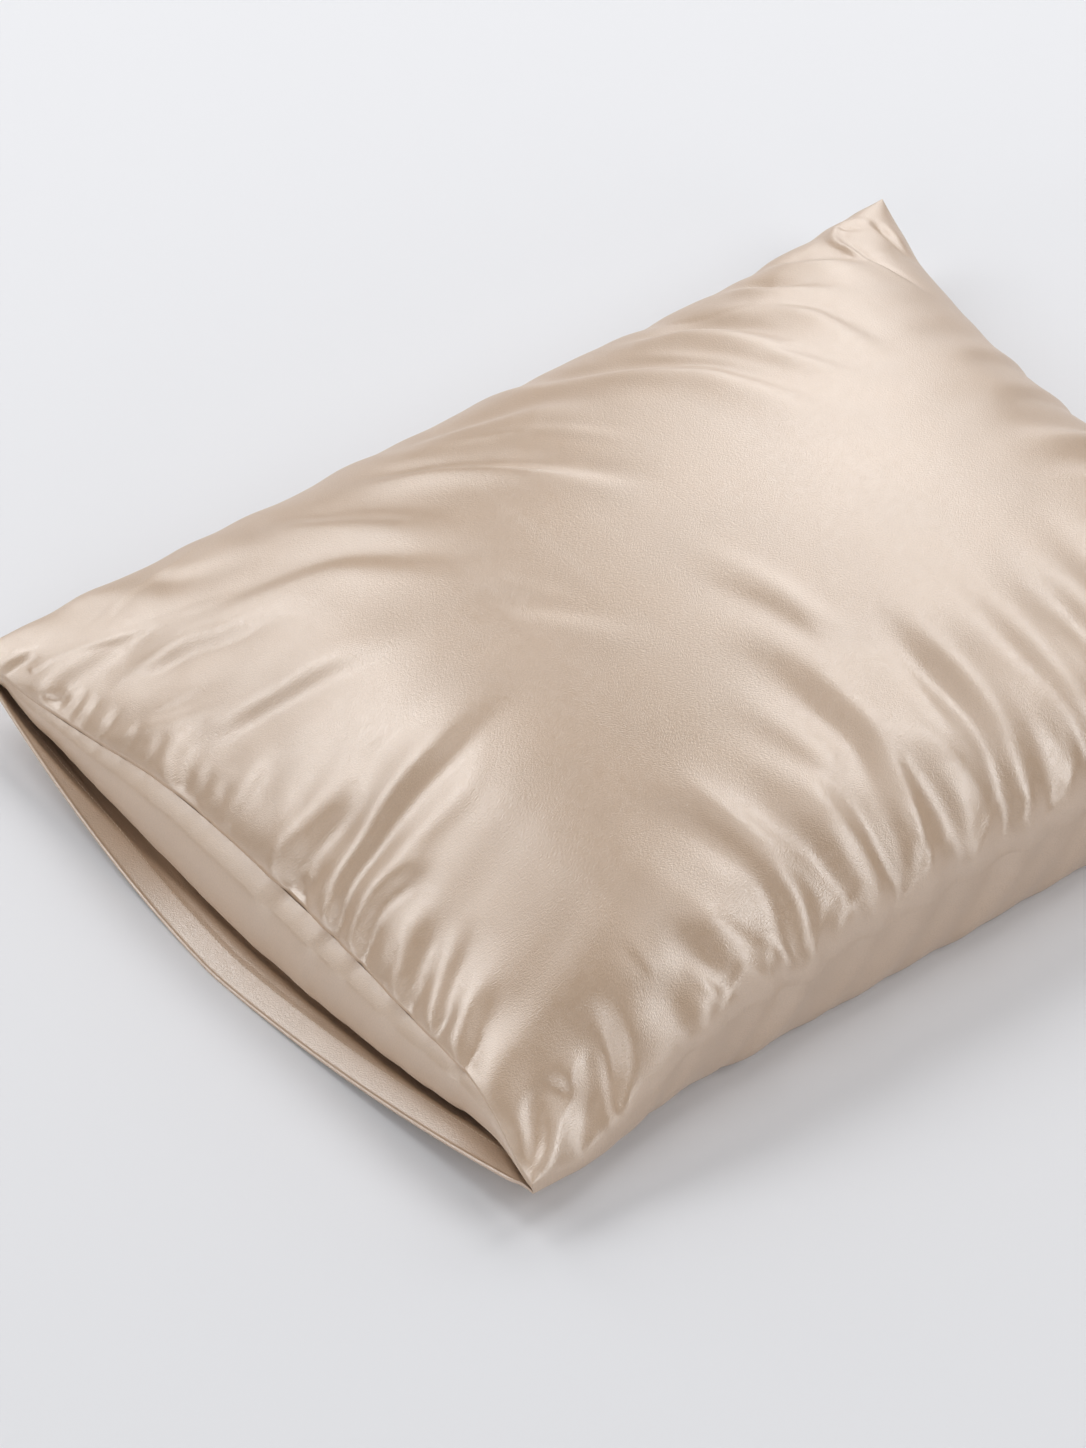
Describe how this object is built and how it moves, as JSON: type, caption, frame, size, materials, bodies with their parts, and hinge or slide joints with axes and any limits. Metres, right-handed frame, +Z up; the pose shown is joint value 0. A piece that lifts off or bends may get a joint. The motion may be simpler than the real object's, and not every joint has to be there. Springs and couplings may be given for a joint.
{
  "type": "pillowcase",
  "caption": "Envelope pillowcase in plain satin, filled and lying on its back, with a tucked-in flap and a hemmed lip at its open end.",
  "frame": {"origin": "centre of the whole case's footprint, on the surface that it lies on", "axes": "+X runs along the case from the open mouth to the closed end, +Y across it, +Z up"},
  "size_m": [0.66, 0.485, 0.143],
  "materials": {
    "front_satin": "soft sheen champagne satin",
    "back_satin": "soft sheen champagne satin",
    "flap_satin": "soft sheen champagne satin"
  },
  "bodies": {
    "root": {"front_panel": "front_satin", "back_panel": "back_satin", "envelope_flap": "flap_satin"}
  },
  "joints": []
}
